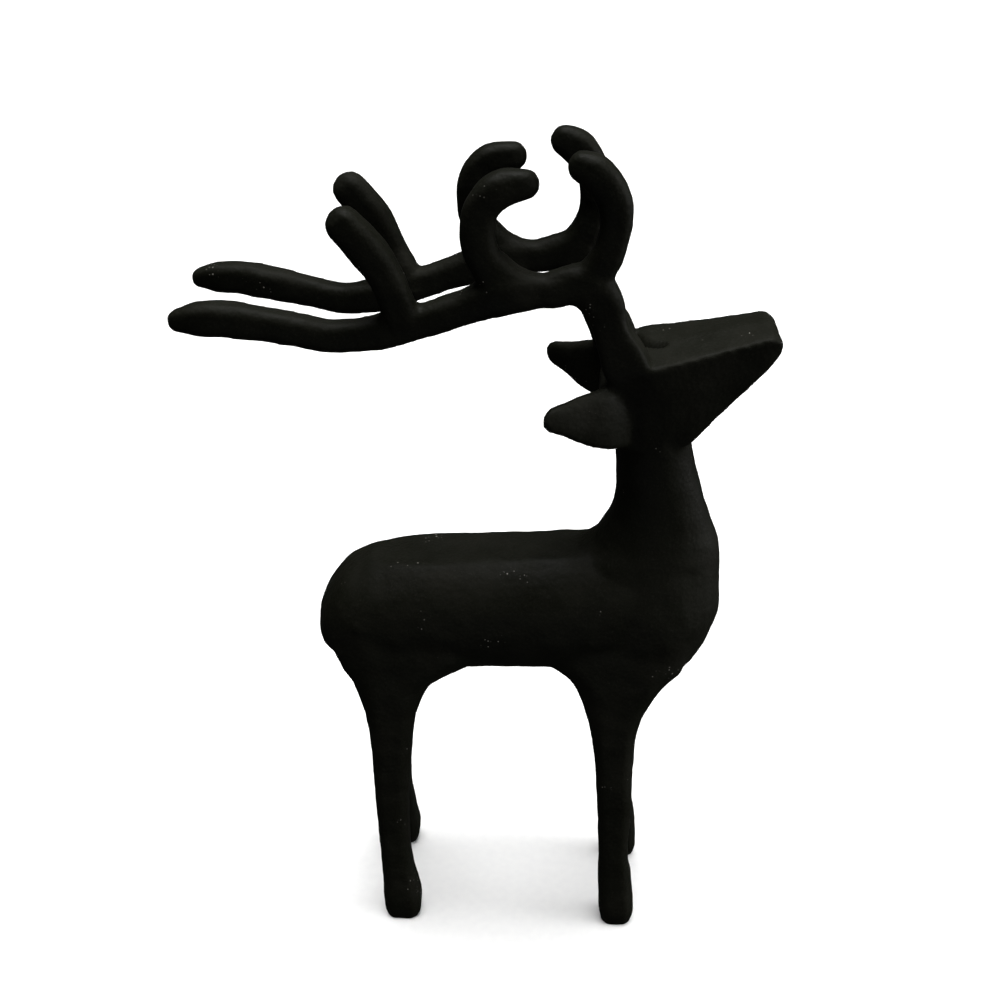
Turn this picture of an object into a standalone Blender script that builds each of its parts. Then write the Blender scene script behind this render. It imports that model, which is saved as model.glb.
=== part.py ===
"""Cast iron stag statue: one solid sand casting that stands on its own four feet.

The stag faces +X and its right side faces -Y. The origin is on the ground under the middle of its box.
It is a free form, so its places and thicknesses are hundredths of its own height.
"""

import math

import bpy
from mathutils import Vector

STAG_HEIGHT = 0.300  # ground to the top of the antlers
DRAWN_SOLES = 0.9  # the level of the soles in the drawing that the stations below give
DRAWN_HEIGHT = 98.4  # soles to antler tops in the same drawing
HUNDREDTH = STAG_HEIGHT / DRAWN_HEIGHT

RING_SIDES = 24
STEPS_BETWEEN_STATIONS = 5
CAP_STEPS = 3
CAP_TURN = 0.47 * math.pi  # how far round toward its pole a free end is drawn
SKIN_VOXEL = 0.36 * HUNDREDTH
SKIN_SMOOTHING_PASSES = 5
FACE_BUDGET = 9400
GRINDER_SIZE = (1.0, 1.0, 0.5)

# Torso, rump to shoulder: x, z of the middle, half width, half height
TORSO = [
    (-21.2, 41.4, 2.4, 2.2),
    (-20.4, 42.0, 4.6, 3.75),
    (-18.3, 42.7, 6.4, 5.95),
    (-16.0, 43.1, 7.1, 6.9),
    (-14.0, 43.4, 7.4, 7.45),
    (-9.0, 44.0, 7.7, 7.9),
    (0.0, 44.6, 7.6, 7.95),
    (9.0, 45.15, 7.5, 8.2),
    (16.0, 45.9, 7.0, 8.0),
    (20.0, 45.9, 5.0, 6.0),
]
TORSO_SQUARENESS = 2.3
BACK_FLAT = 0.90  # the back is planed off at this share of the torso's half height

# Chest and neck, breast to throat: z, x of the middle, half length, half width
NECK = [
    (34.2, 16.8, 1.2, 1.6),
    (35.0, 16.9, 3.0, 3.4),
    (37.0, 17.1, 5.0, 5.4),
    (40.4, 17.3, 7.4, 6.9),
    (45.4, 17.45, 8.7, 7.2),
    (50.0, 17.2, 8.7, 6.4),
    (52.0, 17.0, 8.75, 5.9),
    (53.2, 17.75, 7.85, 5.6),
    (54.6, 18.25, 6.95, 5.2),
    (58.4, 18.35, 5.35, 4.5),
    (63.4, 17.5, 4.5, 4.2),
    (68.4, 16.7, 4.15, 4.2),
    (72.4, 16.2, 4.0, 4.0),
]
NECK_SQUARENESS = 2.2

# Head, nape to nose: x, z of the top, z of the underside, half width at the top, half width below
HEAD = [
    (10.7, 73.6, 71.2, 2.4, 2.2),
    (11.6, 75.3, 69.4, 4.8, 3.9),
    (13.0, 76.4, 67.0, 6.6, 4.4),
    (15.4, 77.3, 66.2, 7.0, 4.2),
    (20.7, 78.55, 67.4, 6.0, 3.6),
    (24.3, 79.45, 71.8, 5.3, 3.5),
    (28.4, 80.45, 76.6, 4.7, 3.6),
    (29.35, 79.7, 78.3, 4.4, 3.7),
]
CROWN_RISE = 0.35  # the flat top of the head rises this much to its middle line

# Ears, root to tip: x, y, z of the middle, half height, half thickness, and the left ear's rise
EAR = [
    (14.0, 3.6, 70.9, 3.8, 1.7, 1.15),
    (11.6, 5.8, 71.35, 3.6, 1.7, 0.9),
    (9.0, 7.5, 71.85, 2.85, 1.4, 0.35),
    (6.7, 9.2, 72.45, 1.85, 1.1, -0.1),
    (5.3, 10.1, 72.7, 1.3, 0.9, -0.2),
    (4.65, 10.55, 72.75, 0.6, 0.5, -0.25),
]
EAR_SQUARENESS = 1.6

# Antlers: x, z, half thickness, and how far forward and up the left one's own line lies
RING_MIDDLE = (4.1, 92.0)
# the ring and the front prong it runs out into: degrees, radius, then the same
RING = [
    (-140, 6.8, 1.75, 0.0, 0.0),
    (-90, 6.85, 1.65, 0.0, 0.0),
    (-45, 7.05, 1.65, -0.1, 0.0),
    (-10, 6.9, 1.65, -0.3, 0.0),
    (20, 7.15, 1.75, -0.4, 0.0),
    (45, 7.0, 1.8, -0.3, 0.0),
    (60, 6.7, 1.5, -0.25, 0.05),
]
BEAM = [
    (-33.35, 81.1, 1.15, -0.5, 0.0),
    (-31.4, 81.3, 1.6, -0.45, 0.0),
    (-28.5, 81.3, 1.73, -0.4, 0.0),
    (-24.5, 80.75, 1.7, -0.3, 0.0),
    (-20.5, 80.0, 1.57, -0.3, 0.05),
    (-17.2, 79.55, 1.53, -0.3, 0.1),
    (-13.0, 80.1, 1.75, -0.3, 0.2),
    (-8.5, 81.4, 1.7, -0.3, 0.35),
    (-4.0, 83.1, 1.7, 0.0, 0.3),
    (0.5, 84.9, 2.05, 0.0, 0.0),
    (2.4, 85.05, 1.9, 0.0, 0.0),
    (4.4, 85.2, 1.5, 0.0, 0.0),
]
REAR_PRONG = [
    (-10.0, 80.4, 1.85, -0.3, 0.3),
    (-10.75, 83.4, 1.75, -0.2, 0.2),
    (-11.85, 86.4, 1.7, -0.05, 0.0),
    (-13.7, 89.15, 1.82, 0.05, 0.0),
    (-15.95, 91.65, 1.78, 0.0, 0.15),
]
FORE_ARM = [
    (-0.6, 86.4, 1.8, 0.15, 0.0),
    (-2.3, 89.2, 1.75, 0.15, 0.0),
    (-2.6, 92.0, 1.75, 0.15, 0.0),
    (-2.0, 94.0, 1.75, 0.0, 0.0),
    (-0.5, 95.4, 1.75, -0.1, 0.0),
    (2.0, 96.0, 1.45, -0.15, 0.0),
]
ROOT = [
    (4.4, 85.3, 1.5, 0.0, 0.0),
    (6.2, 85.8, 1.85, 0.3, 0.0),
    (8.75, 85.7, 2.4, 0.25, 0.0),
    (10.35, 83.7, 2.05, -0.55, 0.0),
    (11.35, 80.8, 1.83, -1.0, 0.0),
    (12.9, 77.4, 2.4, -1.0, 0.0),
    (14.2, 74.6, 1.6, -0.9, 0.0),
]
ROOT_SPREAD = 4.65  # half the distance between the antlers at their roots
RING_SPREAD = 5.9
SPREAD_GAIN = 0.047  # what the antlers spread for each step back from the ring
BAR_ROUNDNESS = 2.4
BAR_WIDTH_SHARE = 0.95
LEFT_ANTLER_SHIFT = -1.4  # the left antler was set a little further back
SHIFT_FROM_Z = 78.0
SHIFT_FULL_Z = 85.0

# Legs, body to sole: z, x and y of the middle, half length, half width
HIND_LEG = [
    (44.4, -13.0, 3.6, 5.6, 3.6),
    (40.4, -10.2, 4.0, 8.9, 3.5),
    (37.6, -11.6, 4.3, 6.6, 3.2),
    (36.4, -12.1, 4.45, 5.25, 3.1),
    (35.4, -12.3, 4.6, 4.45, 3.0),
    (31.4, -12.45, 5.3, 3.05, 2.4),
    (26.4, -12.4, 5.8, 2.42, 2.0),
    (19.4, -12.4, 6.2, 2.1, 1.85),
    (11.9, -12.1, 6.65, 1.85, 1.8),
    (8.4, -11.75, 6.8, 1.95, 1.85),
    (4.3, -11.25, 6.95, 2.35, 2.1),
    (2.2, -11.15, 7.0, 2.35, 2.1),
    (0.9, -11.15, 7.0, 2.05, 1.85),
    (-0.6, -11.15, 7.0, 1.5, 1.4),
]
FORE_LEG = [
    (44.4, 14.6, 3.2, 5.2, 3.6),
    (39.8, 14.2, 3.7, 8.0, 3.4),
    (37.4, 14.7, 4.0, 6.0, 3.2),
    (35.4, 14.65, 4.2, 4.7, 3.0),
    (31.4, 14.5, 4.9, 3.1, 2.4),
    (26.4, 14.8, 5.4, 2.4, 2.0),
    (19.4, 15.25, 5.9, 2.1, 1.85),
    (11.4, 15.65, 6.15, 1.87, 1.8),
    (7.4, 16.07, 6.3, 2.13, 1.9),
    (3.4, 16.4, 6.4, 2.2, 2.1),
    (2.2, 16.5, 6.4, 2.15, 2.05),
    (0.9, 16.5, 6.4, 1.85, 1.75),
    (-0.6, 16.5, 6.4, 1.3, 1.3),
]
LEG_SQUARENESS = 3.4
# How far forward the left leg stands, and the drop below the body over which it gets there
LEGS_PART_AT_Z = 40
LEFT_HIND_SHIFT = (-1.6, 36)
LEFT_FORE_SHIFT = (0.95, 20)


def clear_scene():
    for thing in list(bpy.data.objects):
        bpy.data.objects.remove(thing, do_unlink=True)


def blend_stations(stations):
    """Fill in steps between the chosen stations, on a smooth curve through them."""
    smooth = []
    last = len(stations) - 1
    for index in range(last):
        before = stations[max(index - 1, 0)]
        start = stations[index]
        end = stations[index + 1]
        after = stations[min(index + 2, last)]
        for step in range(STEPS_BETWEEN_STATIONS):
            t = step / STEPS_BETWEEN_STATIONS
            smooth.append(tuple(
                0.5 * (2 * b + (c - a) * t + (2 * a - 5 * b + 4 * c - d) * t**2
                       + (3 * b - a - 3 * c + d) * t**3)
                for a, b, c, d in zip(before, start, end, after)
            ))
    smooth.append(stations[-1])
    return smooth


def oval(turn, squareness):
    """A point of a superellipse: 2 is an ellipse, more is squarer, less is more pointed."""
    across = math.cos(turn)
    up = math.sin(turn)
    power = 2 / squareness
    return math.copysign(abs(across) ** power, across), math.copysign(abs(up) ** power, up)


def ring(middle, across, up, squareness, top_limit=1.0):
    points = []
    for side in range(RING_SIDES):
        a, b = oval(math.tau * (side + 0.5) / RING_SIDES, squareness)
        points.append((middle + across * a + up * min(b, top_limit)) * HUNDREDTH)
    return points


def skin_rings(name, rings):
    """One closed body through a row of rings of equal point counts."""
    count = len(rings[0])
    points = [point for one in rings for point in one]
    faces = [tuple(range(count))[::-1]]
    for index in range(len(rings) - 1):
        low = index * count
        high = low + count
        for side in range(count):
            after = (side + 1) % count
            faces.append((low + side, low + after, high + after, high + side))
    faces.append(tuple(range(len(points) - count, len(points))))
    mesh = bpy.data.meshes.new(name)
    mesh.from_pydata(points, [], faces)
    body = bpy.data.objects.new(name, mesh)
    bpy.context.collection.objects.link(body)
    return body


def add_torso():
    rings = []
    for x, z, half_width, half_height in blend_stations(TORSO):
        rings.append(ring(Vector((x, 0, z)), Vector((0, half_width, 0)), Vector((0, 0, half_height)),
                          TORSO_SQUARENESS, BACK_FLAT))
    return skin_rings("torso", rings)


def add_neck():
    rings = []
    for z, x, half_length, half_width in blend_stations(NECK):
        rings.append(ring(Vector((x, 0, z)), Vector((half_length, 0, 0)), Vector((0, half_width, 0)),
                          NECK_SQUARENESS))
    return skin_rings("neck", rings)


def add_head():
    rings = []
    for x, top, under, half_top, half_under in HEAD:
        corners = [(-half_under, under), (half_under, under), (half_top, top), (0, top + CROWN_RISE), (-half_top, top)]
        rings.append([Vector((x, y, z)) * HUNDREDTH for y, z in corners])
    return skin_rings("head", rings)


def add_ear(side):
    rings = []
    root, tip = EAR[0], EAR[-1]
    across = Vector((tip[1] - root[1], (root[0] - tip[0]) * side, 0)).normalized()
    for x, y, z, half_height, half_thickness, left_rise in blend_stations(EAR):
        rise = left_rise if side > 0 else 0.0
        rings.append(ring(Vector((x, y * side, z + rise)), across * half_thickness,
                          Vector((0, 0, half_height)), EAR_SQUARENESS))
    return skin_rings("ear", rings)


def place_on_antler(x, z, left_forward, left_up, side):
    """Put a point of the antler's drawing on its side: the two stand apart and lean a little outward."""
    rise = min(max((z - SHIFT_FROM_Z) / (SHIFT_FULL_Z - SHIFT_FROM_Z), 0.0), 1.0)
    spread = ROOT_SPREAD + (RING_SPREAD - ROOT_SPREAD) * rise
    spread += SPREAD_GAIN * max(RING_MIDDLE[0] - x, 0.0)
    if side > 0:
        x += LEFT_ANTLER_SHIFT * rise + left_forward
        z += left_up
    return Vector((x, spread * side, z))


def add_bar(name, stations, side, round_start, round_end):
    """A bar of the antler along its drawn line, with a round end where it is free."""
    line = [(place_on_antler(x, z, forward, up, side), half) for x, z, half, forward, up in stations]
    runs = []
    for index, (middle, half) in enumerate(line):
        before = line[max(index - 1, 0)][0]
        after = line[min(index + 1, len(line) - 1)][0]
        runs.append((middle, (after - before).normalized(), half))
    if round_start:
        runs = rounded_end(runs[0], -1) + runs
    if round_end:
        runs = runs + rounded_end(runs[-1], 1)[::-1]
    rings = []
    for middle, ahead, half in runs:
        up = ahead.cross(Vector((0, 1, 0))).normalized()
        across = up.cross(ahead)
        rings.append(ring(middle, across * half * BAR_WIDTH_SHARE, up * half, BAR_ROUNDNESS))
    return skin_rings(name, rings)


def rounded_end(last_run, way):
    """Rings that close a bar like a finger tip, outermost first."""
    middle, ahead, half = last_run
    tip = []
    for step in range(CAP_STEPS, 0, -1):
        turn = CAP_TURN * step / CAP_STEPS
        tip.append((middle + ahead * way * half * math.sin(turn), ahead, half * math.cos(turn)))
    return tip


def ring_stations():
    stations = []
    for degrees, radius, half, left_forward, left_up in blend_stations(RING):
        turn = math.radians(degrees)
        x = RING_MIDDLE[0] + radius * math.cos(turn)
        z = RING_MIDDLE[1] + radius * math.sin(turn)
        stations.append((x, z, half, left_forward, left_up))
    return stations


def add_antler(side):
    return [
        add_bar("beam", blend_stations(BEAM), side, True, False),
        add_bar("rear prong", blend_stations(REAR_PRONG), side, False, True),
        add_bar("fore arm", blend_stations(FORE_ARM), side, False, True),
        add_bar("ring", ring_stations(), side, False, True),
        add_bar("root", blend_stations(ROOT), side, False, False),
    ]


def add_leg(stations, side, left_shift):
    rings = []
    for z, x, y, half_length, half_width in blend_stations(stations):
        if side > 0:
            x += left_shift[0] * min(max((LEGS_PART_AT_Z - z) / left_shift[1], 0.0), 1.0)
        rings.append(ring(Vector((x, y * side, z)), Vector((half_length, 0, 0)),
                          Vector((0, half_width, 0)), LEG_SQUARENESS))
    return skin_rings("leg", rings)


def cast_as_one(pieces):
    """Join the lofted forms, run one skin over them and thin it to the face budget."""
    for piece in pieces:
        piece.select_set(True)
    stag = pieces[0]
    bpy.context.view_layer.objects.active = stag
    bpy.ops.object.join()
    stag.name = "stag"
    stag.data.name = "stag"
    skin = stag.modifiers.new("one skin", "REMESH")
    skin.mode = "VOXEL"
    skin.voxel_size = SKIN_VOXEL
    smoothing = stag.modifiers.new("fettling", "SMOOTH")
    smoothing.factor = 0.5
    smoothing.iterations = SKIN_SMOOTHING_PASSES
    return stag


def stand_at_origin(stag):
    """Fix the skin, and put the origin on the ground under the middle of its box."""
    graph = bpy.context.evaluated_depsgraph_get()
    skin = bpy.data.meshes.new_from_object(stag.evaluated_get(graph))
    stag.modifiers.clear()
    stag.data = skin
    for axis in (0, 1):
        places = [vertex.co[axis] for vertex in skin.vertices]
        middle = (min(places) + max(places)) / 2
        for vertex in skin.vertices:
            vertex.co[axis] -= middle
    for vertex in skin.vertices:
        vertex.co.z -= DRAWN_SOLES * HUNDREDTH


def thin_faces(stag):
    faces = len(stag.data.polygons) * 2
    thinning = stag.modifiers.new("fewer faces", "DECIMATE")
    thinning.ratio = FACE_BUDGET / faces
    thinning.use_collapse_triangulate = True


def cut_soles(stag):
    """Grind the four soles flat in one plane."""
    bpy.ops.mesh.primitive_cube_add(size=1, location=(0, 0, -GRINDER_SIZE[2] / 2))
    grinder = bpy.context.object
    grinder.name = "sole_grinder"
    grinder.scale = GRINDER_SIZE
    grinder.hide_render = True
    grinder.display_type = "WIRE"
    flat = stag.modifiers.new("flat soles", "BOOLEAN")
    flat.operation = "DIFFERENCE"
    flat.object = grinder


def black_iron():
    iron = bpy.data.materials.new("black_cast_iron")
    iron.use_nodes = True
    shader = iron.node_tree.nodes["Principled BSDF"]
    shader.inputs["Base Color"].default_value = (0.008, 0.008, 0.007, 1)
    shader.inputs["Roughness"].default_value = 0.75
    shader.inputs["Metallic"].default_value = 0.0
    return iron


def main():
    clear_scene()
    pieces = [add_torso(), add_neck(), add_head()]
    for side in (-1, 1):
        pieces.append(add_ear(side))
        pieces.extend(add_antler(side))
        pieces.append(add_leg(HIND_LEG, side, LEFT_HIND_SHIFT))
        pieces.append(add_leg(FORE_LEG, side, LEFT_FORE_SHIFT))
    stag = cast_as_one(pieces)
    stand_at_origin(stag)
    thin_faces(stag)
    cut_soles(stag)
    stag.data.materials.clear()
    stag.data.materials.append(black_iron())


main()
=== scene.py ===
"""The looks of a cast iron stag statue: one sand casting under matt black paint.

Places are steps of a drawing of the stag's right side: x forward, y to its left, z up.
The statue's height is read from the frame and gives a step its length.
A side is -1 for the stag's right and 1 for its left.
"""

import math

import bpy
from mathutils import Matrix, Vector, noise
from mathutils.geometry import intersect_point_line


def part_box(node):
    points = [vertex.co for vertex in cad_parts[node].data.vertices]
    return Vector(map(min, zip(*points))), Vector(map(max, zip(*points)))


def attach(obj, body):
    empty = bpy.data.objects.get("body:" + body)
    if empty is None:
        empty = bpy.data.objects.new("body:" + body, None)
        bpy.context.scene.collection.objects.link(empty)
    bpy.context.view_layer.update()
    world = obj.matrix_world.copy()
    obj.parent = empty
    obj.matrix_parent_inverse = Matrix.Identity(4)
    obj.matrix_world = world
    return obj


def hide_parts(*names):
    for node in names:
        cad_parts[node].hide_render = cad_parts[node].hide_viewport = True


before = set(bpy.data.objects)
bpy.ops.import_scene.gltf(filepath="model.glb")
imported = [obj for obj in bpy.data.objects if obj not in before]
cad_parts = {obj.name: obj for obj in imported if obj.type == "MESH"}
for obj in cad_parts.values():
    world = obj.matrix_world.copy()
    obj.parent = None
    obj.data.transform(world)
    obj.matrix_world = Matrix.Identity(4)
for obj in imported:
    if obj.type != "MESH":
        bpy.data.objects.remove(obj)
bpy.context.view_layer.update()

# the drawing's level of the soles, height of the statue in steps, and x of its middle
DRAWN_SOLES = 0.9
DRAWN_HEIGHT = 98.4
DRAWN_MIDDLE_X = -3.0
STAG_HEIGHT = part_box("stag")[1][2]
STEP = STAG_HEIGHT / DRAWN_HEIGHT

# Skin of the casting
SKIN_VOXEL = 0.333 * STEP
SMOOTHING = 0.5  # strength of one smoothing pass, from 0 to 1
FETTLING_PASSES = 4
STEPS_BETWEEN_STATIONS = 4
HAUNCHES_Z = (31.5, 43.5)  # between these levels the joints of legs and body are dressed smooth
HAUNCH_PASSES = 14
# the antler bars' thickness wavers by up to this share, over about this many steps
HAND_WOBBLE = 0.07
WOBBLE_LENGTH = 3.2
# marks of the mould and the file: name, kind of pattern, size of one mark and depth, in metres
SAND_MARKS = [
    ("uneven mould wall", "CLOUDS", 0.016, 0.0007),
    ("file dents", "VORONOI", 0.008, 0.0004),
    ("coarse sand", "CLOUDS", 0.0024, 0.00013),
]
# where iron overflowed at the left antler's root: x, y, z of the middle and reach
OVERFLOW = [
    (11.9, 4.4, 80.4, 2.2),
    (13.6, 4.2, 78.6, 2.0),
    (10.9, 4.6, 82.6, 1.6),
]
# size of one lump and its height, in metres, and the grey of the pattern that leaves the skin in place
LUMP_SIZE = 0.0045
LUMP_HEIGHT = 0.0018
LUMP_LEVEL = 0.45
# the open seam in the top of the head, as x and y, then its level, reach to each side and depth
OPEN_SEAM = [(14.0, 4.2), (14.7, 2.0), (15.3, 0.3), (16.9, -0.9)]
SEAM_Z = 77.3
SEAM_REACH = 0.75
SEAM_DEPTH = 1.8

# Each corner below is a pair: the share of a section's half side that it takes, and the cuts that round it

# Torso, rump to shoulder: x, z of the middle, half width, half height
TORSO = [
    (-21.2, 41.4, 2.4, 2.2),
    (-20.4, 42.0, 4.6, 3.75),
    (-18.3, 42.7, 6.4, 5.95),
    (-16.0, 43.1, 7.1, 6.9),
    (-14.0, 43.4, 7.4, 7.45),
    (-9.0, 44.0, 7.7, 7.9),
    (0.0, 44.6, 7.6, 7.95),
    (9.0, 45.15, 7.5, 8.2),
    (16.0, 45.9, 7.0, 8.0),
    (20.0, 45.9, 5.0, 6.0),
]
TORSO_CORNER = (0.93, 9)
BACK_BAND = (51.85, 0.09)  # z of the back's flat band at x 0, and its rise toward the neck

# Chest and neck, breast to throat: z, x of the middle, half length, half width
NECK = [
    (34.2, 16.8, 1.2, 1.6),
    (35.0, 16.9, 3.0, 3.4),
    (37.0, 17.1, 5.0, 5.4),
    (40.4, 17.3, 7.4, 6.9),
    (45.4, 17.45, 8.7, 7.2),
    (50.0, 17.2, 8.7, 6.4),
    (52.0, 17.0, 8.75, 5.9),
    (53.2, 17.75, 7.85, 5.6),
    (54.6, 18.25, 6.95, 5.2),
    (58.4, 18.35, 5.35, 4.5),
    (63.4, 17.5, 4.5, 4.2),
    (68.4, 16.7, 4.15, 4.2),
    (72.4, 16.2, 4.0, 4.0),
]
NECK_CORNER = (0.92, 7)

# Head, nape to nose: x, z of the top, z of the underside, half width at the top, half width below
HEAD = [
    (10.7, 73.6, 71.2, 2.4, 2.2),
    (11.6, 75.3, 69.4, 4.8, 3.9),
    (13.0, 76.4, 67.0, 6.6, 4.4),
    (15.4, 77.3, 66.2, 7.0, 4.2),
    (20.7, 78.55, 67.4, 6.0, 3.6),
    (24.3, 79.45, 71.8, 5.3, 3.5),
    (28.4, 80.45, 76.6, 4.7, 3.6),
    (29.35, 79.7, 78.3, 4.4, 3.7),
]
HEAD_CORNER = (0.04, 1)
CROWN_RISE = 0.35  # the flat top of the head rises this much to its middle line

# Ears, root to tip: x, y, z of the middle, half height, half thickness, and the left ear's rise
EAR = [
    (14.0, 3.6, 70.9, 3.8, 1.7, 1.15),
    (11.6, 5.8, 71.35, 3.6, 1.7, 0.9),
    (9.0, 7.5, 71.85, 2.85, 1.4, 0.35),
    (6.7, 9.2, 72.45, 1.85, 1.1, -0.1),
    (5.3, 10.1, 72.7, 1.3, 0.9, -0.2),
    (4.65, 10.55, 72.75, 0.6, 0.5, -0.25),
]
EAR_CORNER = (0.72, 2)

# Antlers: x, z, half thickness, and how far forward and up the left one's own line lies
RING_MIDDLE = (4.1, 92.0)
# the ring and the front prong it runs out into: degrees, radius, then the same
RING = [
    (-140, 6.8, 1.75, 0.0, 0.0),
    (-90, 6.85, 1.65, 0.0, 0.0),
    (-45, 7.05, 1.65, -0.1, 0.0),
    (-10, 6.9, 1.65, -0.3, 0.0),
    (20, 7.15, 1.75, -0.4, 0.0),
    (45, 7.0, 1.8, -0.3, 0.0),
    (60, 6.7, 1.5, -0.25, 0.05),
]
BEAM = [
    (-33.35, 81.1, 1.15, -0.5, 0.0),
    (-31.4, 81.3, 1.6, -0.45, 0.0),
    (-28.5, 81.3, 1.73, -0.4, 0.0),
    (-24.5, 80.75, 1.7, -0.3, 0.0),
    (-20.5, 80.0, 1.57, -0.3, 0.05),
    (-17.2, 79.55, 1.53, -0.3, 0.1),
    (-13.0, 80.1, 1.75, -0.3, 0.2),
    (-8.5, 81.4, 1.7, -0.3, 0.35),
    (-4.0, 83.1, 1.7, 0.0, 0.3),
    (0.5, 84.9, 2.05, 0.0, 0.0),
    (2.4, 85.05, 1.9, 0.0, 0.0),
    (4.4, 85.2, 1.5, 0.0, 0.0),
]
REAR_PRONG = [
    (-10.0, 80.4, 1.85, -0.3, 0.3),
    (-10.75, 83.4, 1.75, -0.2, 0.2),
    (-11.85, 86.4, 1.7, -0.05, 0.0),
    (-13.7, 89.15, 1.82, 0.05, 0.0),
    (-15.95, 91.65, 1.78, 0.0, 0.15),
]
FORE_ARM = [
    (-0.6, 86.4, 1.8, 0.15, 0.0),
    (-2.3, 89.2, 1.75, 0.15, 0.0),
    (-2.6, 92.0, 1.75, 0.15, 0.0),
    (-2.0, 94.0, 1.75, 0.0, 0.0),
    (-0.5, 95.4, 1.75, -0.1, 0.0),
    (2.0, 96.0, 1.45, -0.15, 0.0),
]
ROOT = [
    (4.4, 85.3, 1.5, 0.0, 0.0),
    (6.2, 85.8, 1.85, 0.3, 0.0),
    (8.75, 85.7, 2.4, 0.25, 0.0),
    (10.35, 83.7, 2.05, -0.55, 0.0),
    (11.35, 80.8, 1.83, -1.0, 0.0),
    (12.9, 77.4, 2.4, -1.0, 0.0),
    (14.2, 74.6, 1.6, -0.9, 0.0),
]
# the root's lower part is carved square, flush with the side of the head
ROOT_FACE = [
    (10.3, 83.2, 1.35, -0.6, 0.0),
    (11.35, 80.8, 1.75, -1.0, 0.0),
    (12.9, 77.4, 2.35, -1.0, 0.0),
    (14.2, 74.6, 1.6, -0.9, 0.0),
]
# the web that carries the ring straight down into the root, no wider across than the ring
WEB = [
    (10.5, 89.2, 1.3, -0.3, 0.0),
    (9.65, 87.0, 1.75, -0.3, 0.0),
    (9.5, 85.2, 1.9, -0.4, 0.0),
    (10.3, 83.2, 1.6, -0.55, 0.0),
]
ROOT_SPREAD = 4.65  # half the distance between the antlers at their roots
RING_SPREAD = 5.9  # and at their rings
SPREAD_GAIN = 0.047  # what the antlers spread for each step back from the ring
# a bar's half width over its half thickness, then the same for the root and web, flush with the ring
BAR_WIDTH_SHARE = 0.95
FLUSH_WIDTH_SHARE = 0.74
BAR_CORNER = (0.38, 1)
ROOT_FACE_CORNER = (0.16, 1)
TIP_STEPS = 3
TIP_TURN = 0.47 * math.pi  # a little short of the quarter turn that would end in a point
LEFT_ANTLER_SHIFT = -1.4  # the left antler was set a little further back
# between these levels the antlers come to their full spread, and the left one to its full shift
SHIFT_FROM_Z = 78.0
SHIFT_FULL_Z = 85.0

# Legs, body to sole: z, x and y of the middle, half length, half width
HIND_LEG = [
    (44.4, -13.0, 3.6, 5.6, 3.6),
    (40.4, -10.2, 4.0, 8.9, 3.5),
    (37.6, -11.6, 4.3, 6.6, 3.2),
    (36.4, -12.1, 4.45, 5.25, 3.1),
    (35.4, -12.3, 4.6, 4.45, 3.0),
    (31.4, -12.45, 5.3, 3.05, 2.4),
    (26.4, -12.4, 5.8, 2.42, 2.0),
    (19.4, -12.4, 6.2, 2.1, 1.85),
    (11.9, -12.1, 6.65, 1.85, 1.8),
    (8.4, -11.75, 6.8, 1.95, 1.85),
    (4.3, -11.25, 6.95, 2.35, 2.1),
    (2.2, -11.15, 7.0, 2.35, 2.1),
    (0.9, -11.15, 7.0, 2.05, 1.85),
    (-0.6, -11.15, 7.0, 1.5, 1.4),
]
FORE_LEG = [
    (44.4, 14.6, 3.2, 5.2, 3.6),
    (39.8, 14.2, 3.7, 8.0, 3.4),
    (37.4, 14.7, 4.0, 6.0, 3.2),
    (35.4, 14.65, 4.2, 4.7, 3.0),
    (31.4, 14.5, 4.9, 3.1, 2.4),
    (26.4, 14.8, 5.4, 2.4, 2.0),
    (19.4, 15.25, 5.9, 2.1, 1.85),
    (11.4, 15.65, 6.15, 1.87, 1.8),
    (7.4, 16.07, 6.3, 2.13, 1.9),
    (3.4, 16.4, 6.4, 2.2, 2.1),
    (2.2, 16.5, 6.4, 2.15, 2.05),
    (0.9, 16.5, 6.4, 1.85, 1.75),
    (-0.6, 16.5, 6.4, 1.3, 1.3),
]
LEG_CORNER = (0.42, 1)
# How far forward the left leg stands, and the drop below the body over which it gets there
LEGS_PART_AT_Z = 40
LEFT_HIND_SHIFT = (-1.6, 36)
LEFT_FORE_SHIFT = (0.95, 20)

# Paint
PAINT_SPECULAR = 0.07
# how fine each pattern is, in marks to a metre
PATCHES = 45
GRAIN = 1500
PITS = 620
# the next two set the painted glints on sand grains: how fine the grains are, and the patches they cluster
# in
GLINT_GRAINS = 850
GLINT_CLUSTERS = 75
# relief of grain and pits: strength, and depth in metres
GRAIN_RELIEF = (0.4, 0.0002)
PIT_RELIEF = (0.35, 0.0003)
# the paint from its dark to its worn patches, the dust on the grain, and the pale colour of the painted
# glints on sand grains
WASH = [
    (0.30, (0.0034, 0.0038, 0.0018, 1)),
    (0.52, (0.0053, 0.0056, 0.0033, 1)),
    (0.74, (0.0085, 0.0084, 0.0058, 1)),
]
DUST_COLOUR = (0.0155, 0.015, 0.012, 1)
GLINT_COLOUR = (0.26, 0.25, 0.225, 1)

# Studio
TENT_COLOUR = (1, 1, 0.98, 1)
TENT_LIGHT = 0.035
# suns: where each shines from, how wide it looks in degrees, and its strength
OVERHEAD = ((0.0, 0.06, 1), 48, 5.4)
FRONT_FILL = ((1, -0.02, 0.2), 26, 2.3)
# light from a low white board on the camera's side
BOARD_PLACE = (0.02, -0.34, 0.03)
BOARD_SIZE = (0.30, 0.05)
BOARD_POWER = 0.16
# the paper floor and the backdrop all round, in metres
FLOOR_SIZE = 14
BACKDROP_RADIUS = 6.5
PAPER_FIBRES = 300  # marks to a metre

# Camera: lens and sensor in millimetres, turns in degrees, and what it looks at from how far, in steps
LENS = 46.8
SENSOR_WIDTH = 36
PITCH = 27.5
YAW = 2.0
ROLL = 1.2996
LOOK_Z = 57.98
CAMERA_DISTANCE = 149.84
NEAREST_SEEN = 0.01  # metres


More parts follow.
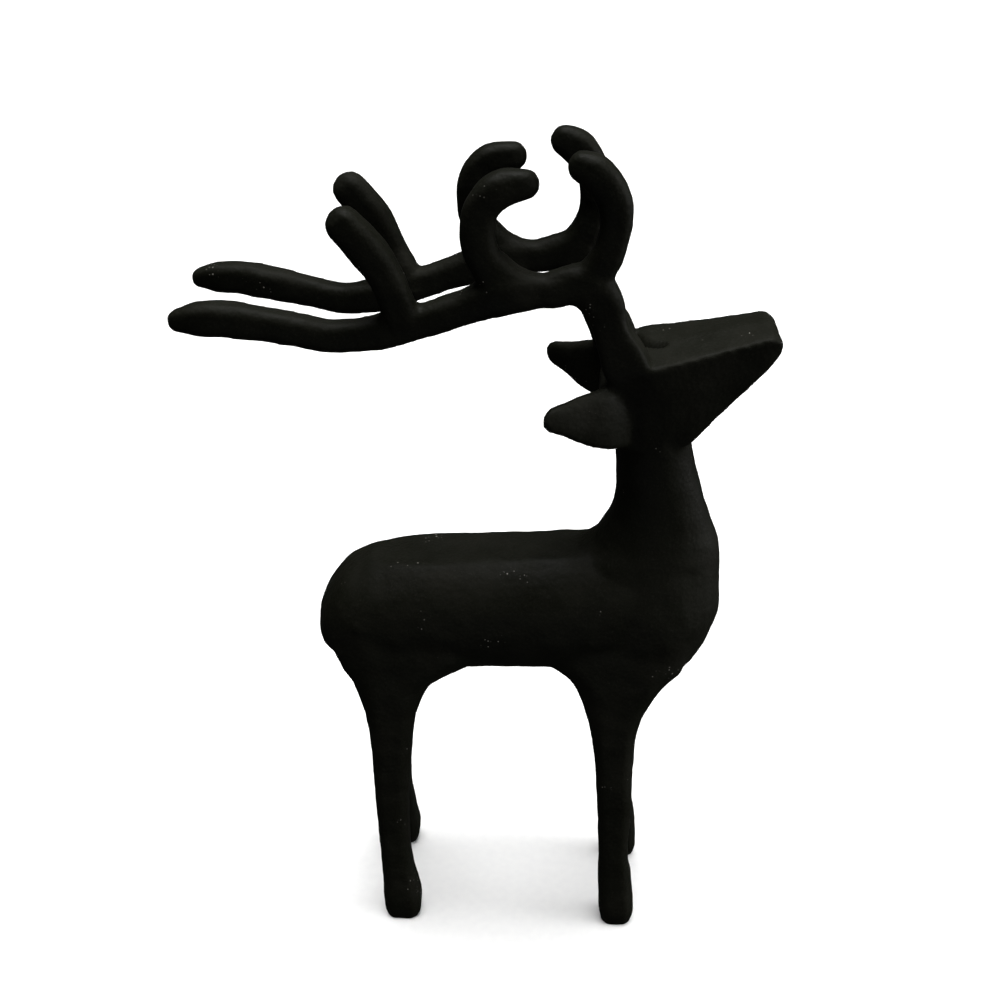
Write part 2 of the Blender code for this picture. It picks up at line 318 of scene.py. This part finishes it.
def at(x, y, z):
    """A place of the drawing, in metres."""
    return Vector((x - DRAWN_MIDDLE_X, y, z - DRAWN_SOLES)) * STEP


def blend_stations(stations):
    """Fill in steps between the chosen stations, on a smooth curve through them."""
    smooth = []
    last = len(stations) - 1
    for index in range(last):
        before = stations[max(index - 1, 0)]
        start = stations[index]
        end = stations[index + 1]
        after = stations[min(index + 2, last)]
        for step in range(STEPS_BETWEEN_STATIONS):
            t = step / STEPS_BETWEEN_STATIONS
            smooth.append(tuple(
                0.5 * (2 * b + (c - a) * t + (2 * a - 5 * b + 4 * c - d) * t**2
                       + (3 * b - a - 3 * c + d) * t**3)
                for a, b, c, d in zip(before, start, end, after)
            ))
    smooth.append(stations[-1])
    return smooth


def start_form(name, place, facing, halves, corner):
    """Open a new form: one flat section with its corners cut, left in edit mode and selected."""
    share, cuts = corner
    bpy.ops.object.select_all(action="DESELECT")
    turn = {"X": (0, math.pi / 2, 0), "Y": (math.pi / 2, 0, 0), "Z": (0, 0, 0)}[facing]
    bpy.ops.mesh.primitive_plane_add(size=2, location=place, rotation=turn)
    form = bpy.context.object
    form.name = name
    form.data.name = name
    bpy.ops.object.transform_apply(location=True, rotation=True, scale=True)
    bpy.ops.object.mode_set(mode="EDIT")
    bpy.ops.mesh.select_all(action="SELECT")
    bpy.ops.mesh.bevel(offset=share, segments=cuts, affect="VERTICES")
    bpy.ops.mesh.select_all(action="SELECT")
    bpy.ops.transform.resize(value=halves, center_override=place)
    return form


def draw_out(step, place, growth):
    """Extrude the selected end section by a step and size it there."""
    bpy.ops.mesh.extrude_region_move(TRANSFORM_OT_translate={"value": step})
    bpy.ops.transform.resize(value=growth, center_override=place)


def close_form(form):
    bpy.ops.mesh.select_all(action="SELECT")
    bpy.ops.mesh.normals_make_consistent(inside=False)
    bpy.ops.mesh.select_all(action="DESELECT")
    bpy.ops.object.mode_set(mode="OBJECT")
    return form


def draw_sections(name, facing, sections, corner):
    """A form drawn through flat sections that all face one way: place and half sizes of each."""
    place, halves = sections[0]
    form = start_form(name, place, facing, halves, corner)
    for next_place, next_halves in sections[1:]:
        growth = tuple(new / old for new, old in zip(next_halves, halves))
        draw_out(next_place - place, next_place, growth)
        place, halves = next_place, next_halves
    return close_form(form)


def draw_bar(name, line, corner, width_share=BAR_WIDTH_SHARE):
    """A bar drawn along a line in the antler's plane: place and half thickness at each point."""
    places = [place for place, half in line]
    turns = []
    for index in range(len(line)):
        ahead = places[min(index + 1, len(line) - 1)] - places[max(index - 1, 0)]
        turns.append(math.atan2(-ahead.z, ahead.x))
    place, half = line[0]
    form = start_form(name, place, "X", (1, half * width_share, half), corner)
    bpy.ops.transform.rotate(value=-turns[0], orient_axis="Y", center_override=place)
    for index in range(1, len(line)):
        next_place, next_half = line[index]
        growth = next_half / half
        draw_out(next_place - place, next_place, (growth, growth, growth))
        bend = turns[index - 1] - turns[index]
        bpy.ops.transform.rotate(value=bend, orient_axis="Y", center_override=next_place)
        place, half = next_place, next_half
    return close_form(form)


def round_tip(line, at_start):
    """Close a bar's line with a finger tip, as a few shrinking sections."""
    if at_start:
        return round_tip(line[::-1], False)[::-1]
    place, half = line[-1]
    ahead = (place - line[-2][0]).normalized()
    tip = []
    for step in range(1, TIP_STEPS + 1):
        turn = TIP_TURN * step / TIP_STEPS
        tip.append((place + ahead * half * math.sin(turn), half * math.cos(turn)))
    return line + tip


def model_torso():
    sections = []
    for x, z, half_width, half_height in blend_stations(TORSO):
        sections.append((at(x, 0, z), (1, half_width * STEP, half_height * STEP)))
    return draw_sections("torso", "X", sections, TORSO_CORNER)


def model_neck():
    sections = []
    for z, x, half_length, half_width in blend_stations(NECK):
        sections.append((at(x, 0, z), (half_length * STEP, half_width * STEP, 1)))
    return draw_sections("neck", "Z", sections, NECK_CORNER)


def model_head():
    """The head is a wedge with a low crowned top: wide above, narrow below."""
    x, top, under, half_top, _ = HEAD[0]
    middle = at(x, 0, (top + under) / 2)
    halves = (1, half_top * STEP, (top - under) / 2 * STEP)
    form = start_form("head", middle, "X", halves, HEAD_CORNER)
    bpy.ops.mesh.bisect(plane_co=middle, plane_no=(0, 1, 0))
    bpy.ops.mesh.select_all(action="SELECT")
    for _ in HEAD[1:]:
        bpy.ops.mesh.extrude_region_move(TRANSFORM_OT_translate={"value": (STEP, 0, 0)})
    bpy.ops.object.mode_set(mode="OBJECT")
    for vertex in form.data.vertices:
        x, top, under, half_top, half_under = HEAD[round((vertex.co.x - middle.x) / STEP)]
        up = 0.5 + (vertex.co.z - middle.z) / halves[2] / 2
        across = vertex.co.y / halves[1]
        half_width = half_under + (half_top - half_under) * up
        crown = CROWN_RISE * (1 - abs(across)) * up
        vertex.co = at(x, across * half_width, under + (top - under) * up + crown)
    bpy.ops.object.mode_set(mode="EDIT")
    return close_form(form)


def model_ear(side):
    sections = []
    for x, y, z, half_height, half_thickness, left_rise in blend_stations(EAR):
        rise = left_rise if side > 0 else 0.0
        sections.append((at(x, y * side, z + rise), (1, half_thickness * STEP, half_height * STEP)))
    return draw_sections("ear", "X", sections, EAR_CORNER)


def place_on_antler(x, z, left_forward, left_up, side):
    """Put a point of the antler's drawing on its side: the two stand apart and lean a little outward."""
    rise = min(max((z - SHIFT_FROM_Z) / (SHIFT_FULL_Z - SHIFT_FROM_Z), 0.0), 1.0)
    spread = ROOT_SPREAD + (RING_SPREAD - ROOT_SPREAD) * rise
    spread += SPREAD_GAIN * max(RING_MIDDLE[0] - x, 0.0)
    if side > 0:
        x += LEFT_ANTLER_SHIFT * rise + left_forward
        z += left_up
    return at(x, spread * side, z)


def carved(place, half):
    """The bar's thickness here, a little uneven as the pattern was carved by hand."""
    return place, half * STEP * (1 + HAND_WOBBLE * noise.noise(place / (WOBBLE_LENGTH * STEP)))


def antler_line(stations, side):
    line = []
    for x, z, half, left_forward, left_up in blend_stations(stations):
        line.append(carved(place_on_antler(x, z, left_forward, left_up, side), half))
    return line


def ring_line(side):
    line = []
    for degrees, radius, half, left_forward, left_up in blend_stations(RING):
        turn = math.radians(degrees)
        x = RING_MIDDLE[0] + radius * math.cos(turn)
        z = RING_MIDDLE[1] + radius * math.sin(turn)
        line.append(carved(place_on_antler(x, z, left_forward, left_up, side), half))
    return line


def model_antler(side):
    return [
        draw_bar("beam", round_tip(antler_line(BEAM, side), True), BAR_CORNER),
        draw_bar("rear prong", round_tip(antler_line(REAR_PRONG, side), False), BAR_CORNER),
        draw_bar("fore arm", round_tip(antler_line(FORE_ARM, side), False), BAR_CORNER),
        draw_bar("ring", round_tip(ring_line(side), False), BAR_CORNER),
        draw_bar("root", antler_line(ROOT, side), BAR_CORNER, FLUSH_WIDTH_SHARE),
        draw_bar("web", antler_line(WEB, side), BAR_CORNER, FLUSH_WIDTH_SHARE),
        draw_bar("root face", antler_line(ROOT_FACE, side), ROOT_FACE_CORNER),
    ]


def model_leg(name, stations, side, left_shift):
    sections = []
    for z, x, y, half_length, half_width in blend_stations(stations):
        if side > 0:
            x += left_shift[0] * min(max((LEGS_PART_AT_Z - z) / left_shift[1], 0.0), 1.0)
        sections.append((at(x, y * side, z), (half_length * STEP, half_width * STEP, 1)))
    return draw_sections(name, "Z", sections, LEG_CORNER)


def plane_back(torso):
    """Plane the back to the long flat band that catches the light."""
    bpy.ops.object.select_all(action="DESELECT")
    torso.select_set(True)
    bpy.context.view_layer.objects.active = torso
    bpy.ops.object.mode_set(mode="EDIT")
    bpy.ops.mesh.select_all(action="SELECT")
    level, rise = BACK_BAND
    bpy.ops.mesh.bisect(plane_co=at(0, 0, level), plane_no=(-rise, 0, 1), use_fill=True, clear_outer=True)
    bpy.ops.mesh.select_all(action="DESELECT")
    bpy.ops.object.mode_set(mode="OBJECT")


def modify(piece, name, kind, **settings):
    """Put a modifier on the piece and apply it."""
    change = piece.modifiers.new(name, kind)
    for key, value in settings.items():
        setattr(change, key, value)
    bpy.context.view_layer.objects.active = piece
    bpy.ops.object.modifier_apply(modifier=change.name)


def cast_together(forms):
    """Join the forms and run one skin over them, as the mould does."""
    bpy.ops.object.select_all(action="DESELECT")
    for form in forms:
        form.select_set(True)
    stag = forms[0]
    bpy.context.view_layer.objects.active = stag
    bpy.ops.object.join()
    stag.name = "stag_casting"
    stag.data.name = "stag_casting"
    modify(stag, "one skin", "REMESH", mode="VOXEL", voxel_size=SKIN_VOXEL)
    modify(stag, "fettling", "SMOOTH", factor=SMOOTHING, iterations=FETTLING_PASSES)
    return stag


def roughen(stag):
    """Work the sand mould's unevenness and the dents of the file into the skin."""
    for name, kind, size, depth in SAND_MARKS:
        marks = bpy.data.textures.new(name, kind)
        marks.noise_scale = size
        modify(stag, name, "DISPLACE", texture=marks, texture_coords="LOCAL",
               strength=depth, mid_level=0.5)


def rough_roots(stag):
    """Lumps of overflowed iron where the left antler grows out of the head."""
    lumps = stag.vertex_groups.new(name="overflow")
    for x, y, z, reach in OVERFLOW:
        middle = at(x, y, z)
        for vertex in stag.data.vertices:
            share = 1 - (vertex.co - middle).length / (reach * STEP)
            if share > 0:
                lumps.add([vertex.index], min(2 * share, 1), "REPLACE")
    iron = bpy.data.textures.new("overflowed iron", "CLOUDS")
    iron.noise_scale = LUMP_SIZE
    iron.noise_depth = 2
    modify(stag, "overflowed iron", "DISPLACE", texture=iron, texture_coords="LOCAL",
           strength=LUMP_HEIGHT, mid_level=LUMP_LEVEL, vertex_group="overflow")
    stag.vertex_groups.clear()


def dress_haunches(stag):
    """Smooth the joints of the legs and the body, which the founder dressed with a file."""
    haunches = stag.vertex_groups.new(name="haunches")
    low, high = (at(0, 0, z).z for z in HAUNCHES_Z)
    between = [vertex.index for vertex in stag.data.vertices if low < vertex.co.z < high]
    haunches.add(between, 1, "REPLACE")
    modify(stag, "dressed haunches", "SMOOTH", factor=SMOOTHING, iterations=HAUNCH_PASSES,
           vertex_group="haunches")
    stag.vertex_groups.clear()


def sink_seam(stag):
    """Sink the open seam into the top of the head, beside the left antler's root."""
    line = [at(x, y, SEAM_Z) for x, y in OPEN_SEAM]
    reach = SEAM_REACH * STEP
    for vertex in stag.data.vertices:
        place = vertex.co
        if place.z < line[0].z - 2 * reach or place.z > line[0].z + 2 * reach:
            continue
        gap = reach
        for start, end in zip(line, line[1:]):
            share = intersect_point_line(place, start, end)[1]
            nearest = start + (end - start) * min(max(share, 0), 1)
            gap = min(gap, math.hypot(place.x - nearest.x, place.y - nearest.y))
        place.z -= SEAM_DEPTH * STEP * (1 - gap / reach)


def grind_soles(stag):
    """Cut the four soles flat on the ground."""
    bpy.ops.object.mode_set(mode="EDIT")
    bpy.ops.mesh.select_all(action="SELECT")
    bpy.ops.mesh.bisect(plane_co=(0, 0, 0), plane_no=(0, 0, 1), use_fill=True, clear_inner=True)
    bpy.ops.mesh.select_all(action="DESELECT")
    bpy.ops.object.mode_set(mode="OBJECT")
    bpy.ops.object.shade_smooth()


def model_stag():
    torso = model_torso()
    plane_back(torso)
    forms = [torso, model_neck(), model_head()]
    for side in (-1, 1):
        forms.append(model_ear(side))
        forms.extend(model_antler(side))
        forms.append(model_leg("hind leg", HIND_LEG, side, LEFT_HIND_SHIFT))
        forms.append(model_leg("fore leg", FORE_LEG, side, LEFT_FORE_SHIFT))
    stag = cast_together(forms)
    dress_haunches(stag)
    rough_roots(stag)
    sink_seam(stag)
    roughen(stag)
    grind_soles(stag)
    return stag


def node(material, kind, inputs=(), **settings):
    """A node with its settings, its plain values and the sockets that feed it."""
    made = material.node_tree.nodes.new(kind)
    for key, value in settings.items():
        setattr(made, key, value)
    for key, value in dict(inputs).items():
        if isinstance(value, bpy.types.NodeSocket):
            material.node_tree.links.new(value, made.inputs[key])
        else:
            made.inputs[key].default_value = value
    return made


def colour_ramp(material, factor, stops):
    ramp = node(material, "ShaderNodeValToRGB", {"Fac": factor})
    points = ramp.color_ramp.elements
    points[0].position, points[1].position = stops[0][0], stops[-1][0]
    points[0].color, points[1].color = stops[0][1], stops[-1][1]
    for position, colour in stops[1:-1]:
        points.new(position).color = colour
    return ramp.outputs["Color"]


def grey(value):
    return (value, value, value, 1)


def black_iron_paint():
    """Matt black paint on sand-cast iron: dusty patches, fine grain and a few sand grains painted bright
    as glints.
    """
    paint = bpy.data.materials.new("matt black paint over cast iron")
    paint.use_nodes = True
    shader = paint.node_tree.nodes["Principled BSDF"]
    shader.inputs["Specular IOR Level"].default_value = PAINT_SPECULAR
    place = node(paint, "ShaderNodeTexCoord").outputs["Object"]

    patches = node(paint, "ShaderNodeTexNoise",
                   {"Vector": place, "Scale": PATCHES, "Detail": 4, "Roughness": 0.6})
    grain = node(paint, "ShaderNodeTexNoise",
                 {"Vector": place, "Scale": GRAIN, "Detail": 3, "Roughness": 0.7})
    pits = node(paint, "ShaderNodeTexVoronoi", {"Vector": place, "Scale": PITS, "Randomness": 1.0})
    wash = colour_ramp(paint, patches.outputs["Fac"], WASH)
    caught = colour_ramp(paint, grain.outputs["Fac"], [(0.50, grey(0.0)), (0.78, grey(0.55))])
    dust = node(paint, "ShaderNodeMix", {"Factor": caught, "A": wash, "B": DUST_COLOUR}, data_type="RGBA")

    # painted glints: sparse pale specks in the base colour, gathered in clusters, stand in for light
    # glinting off sand grains
    glint_cells = node(paint, "ShaderNodeTexVoronoi",
                    {"Vector": place, "Scale": GLINT_GRAINS, "Randomness": 1.0})
    size = colour_ramp(paint, glint_cells.outputs["Distance"], [(0.14, grey(1.0)), (0.28, grey(0.0))])
    chance = node(paint, "ShaderNodeSeparateColor", {"Color": glint_cells.outputs["Color"]}).outputs[0]
    rare = colour_ramp(paint, chance, [(0.60, grey(0.0)), (0.90, grey(1.0))])
    glint_cluster_noise = node(paint, "ShaderNodeTexNoise", {"Vector": place, "Scale": GLINT_CLUSTERS, "Detail": 1})
    gathered = colour_ramp(paint, glint_cluster_noise.outputs["Fac"], [(0.66, grey(0.0)), (0.72, grey(1.0))])
    painted_glint = node(paint, "ShaderNodeMath", {0: size, 1: rare}, operation="MULTIPLY").outputs[0]
    painted_glint = node(paint, "ShaderNodeMath", {0: painted_glint, 1: gathered}, operation="MULTIPLY").outputs[0]
    skin = node(paint, "ShaderNodeMix",
                {"Factor": painted_glint, "A": dust.outputs["Result"], "B": GLINT_COLOUR}, data_type="RGBA")
    paint.node_tree.links.new(skin.outputs["Result"], shader.inputs["Base Color"])

    gloss = colour_ramp(paint, patches.outputs["Fac"], [(0.3, grey(0.50)), (0.7, grey(0.72))])
    paint.node_tree.links.new(gloss, shader.inputs["Roughness"])
    strength, depth = GRAIN_RELIEF
    fine = node(paint, "ShaderNodeBump",
                {"Height": grain.outputs["Fac"], "Strength": strength, "Distance": depth})
    strength, depth = PIT_RELIEF
    sand = node(paint, "ShaderNodeBump",
                {"Height": pits.outputs["Distance"], "Strength": strength, "Distance": depth,
                 "Normal": fine.outputs["Normal"]})
    paint.node_tree.links.new(sand.outputs["Normal"], shader.inputs["Normal"])
    return paint


def lay_floor():
    """A sheet of white paper; it lights nothing, so that the black iron keeps its dark flanks."""
    bpy.ops.mesh.primitive_plane_add(size=FLOOR_SIZE, location=(0, 0, 0))
    floor = bpy.context.object
    floor.name = "studio_floor"
    paper = bpy.data.materials.new("white paper")
    paper.use_nodes = True
    shader = paper.node_tree.nodes["Principled BSDF"]
    shader.inputs["Roughness"].default_value = 0.95
    shader.inputs["Specular IOR Level"].default_value = 0.1
    place = node(paper, "ShaderNodeTexCoord").outputs["Object"]
    fibres = node(paper, "ShaderNodeTexNoise", {"Vector": place, "Scale": PAPER_FIBRES, "Detail": 3})
    white = colour_ramp(paper, fibres.outputs["Fac"], [
        (0.3, grey(0.90)),
        (0.7, (0.93, 0.93, 0.925, 1)),
    ])
    paper.node_tree.links.new(white, shader.inputs["Base Color"])
    floor.data.materials.append(paper)
    floor.visible_diffuse = False
    floor.visible_glossy = False


def hang_backdrop():
    """White paper all round in the distance, for the camera alone."""
    bpy.ops.mesh.primitive_uv_sphere_add(segments=48, ring_count=24, radius=BACKDROP_RADIUS,
                                         location=(0, 0, 0))
    backdrop = bpy.context.object
    backdrop.name = "studio_backdrop"
    paper = bpy.data.materials.new("white backdrop")
    paper.use_nodes = True
    shader = paper.node_tree.nodes["Principled BSDF"]
    shader.inputs["Emission Color"].default_value = (1, 1, 1, 1)
    shader.inputs["Emission Strength"].default_value = 1.0
    backdrop.data.materials.append(paper)
    backdrop.visible_diffuse = False
    backdrop.visible_glossy = False
    backdrop.visible_shadow = False


def light_studio():
    """A wide soft light overhead, a fill from the stag's front, a low board and a dim tent all round."""
    world = bpy.data.worlds.new("studio")
    bpy.context.scene.world = world
    world.use_nodes = True
    tent = world.node_tree.nodes["Background"]
    tent.inputs["Color"].default_value = TENT_COLOUR
    tent.inputs["Strength"].default_value = TENT_LIGHT
    suns = (("overhead_diffuser", OVERHEAD), ("front_fill", FRONT_FILL))
    for name, (source, spread, strength) in suns:
        bpy.ops.object.light_add(type="SUN", location=(0, 0, 2))
        light = bpy.context.object
        light.name = name
        light.rotation_euler = Vector(source).to_track_quat("Z", "Y").to_euler()
        light.data.angle = math.radians(spread)
        light.data.energy = strength
    bpy.ops.object.light_add(type="AREA", location=BOARD_PLACE, rotation=(math.pi / 2, 0, 0))
    board = bpy.context.object
    board.name = "low_white_board"
    board.data.shape = "RECTANGLE"
    board.data.size, board.data.size_y = BOARD_SIZE
    board.data.energy = BOARD_POWER
    board.visible_camera = False


def aim_camera():
    """The photograph's view: from the stag's right, a little toward its front, looking down."""
    camera_data = bpy.data.cameras.new("photo_camera")
    camera = bpy.data.objects.new("photo_camera", camera_data)
    bpy.context.collection.objects.link(camera)
    camera_data.sensor_width = SENSOR_WIDTH
    camera_data.lens = LENS
    pitch = math.radians(PITCH)
    yaw = math.radians(YAW)
    roll = math.radians(ROLL)
    look = at(0.0, 0, LOOK_Z)
    distance = CAMERA_DISTANCE * STEP
    level = math.cos(pitch)
    ahead = Vector((-math.sin(yaw) * level, math.cos(yaw) * level, -math.sin(pitch)))
    right = Vector((math.cos(yaw), math.sin(yaw), 0))
    up = right.cross(ahead)
    tilted_right = right * math.cos(roll) + up * math.sin(roll)
    tilted_up = up * math.cos(roll) - right * math.sin(roll)
    axes = Matrix((tilted_right, tilted_up, -ahead)).transposed().to_4x4()
    camera.matrix_world = Matrix.Translation(look - ahead * distance) @ axes
    camera_data.clip_start = NEAREST_SEEN
    bpy.context.scene.camera = camera


bpy.context.scene.view_settings.view_transform = "Standard"
aim_camera()
stag = model_stag()
stag.data.materials.clear()
stag.data.materials.append(black_iron_paint())
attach(stag, "root")
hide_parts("stag")
lay_floor()
hang_backdrop()
light_studio()
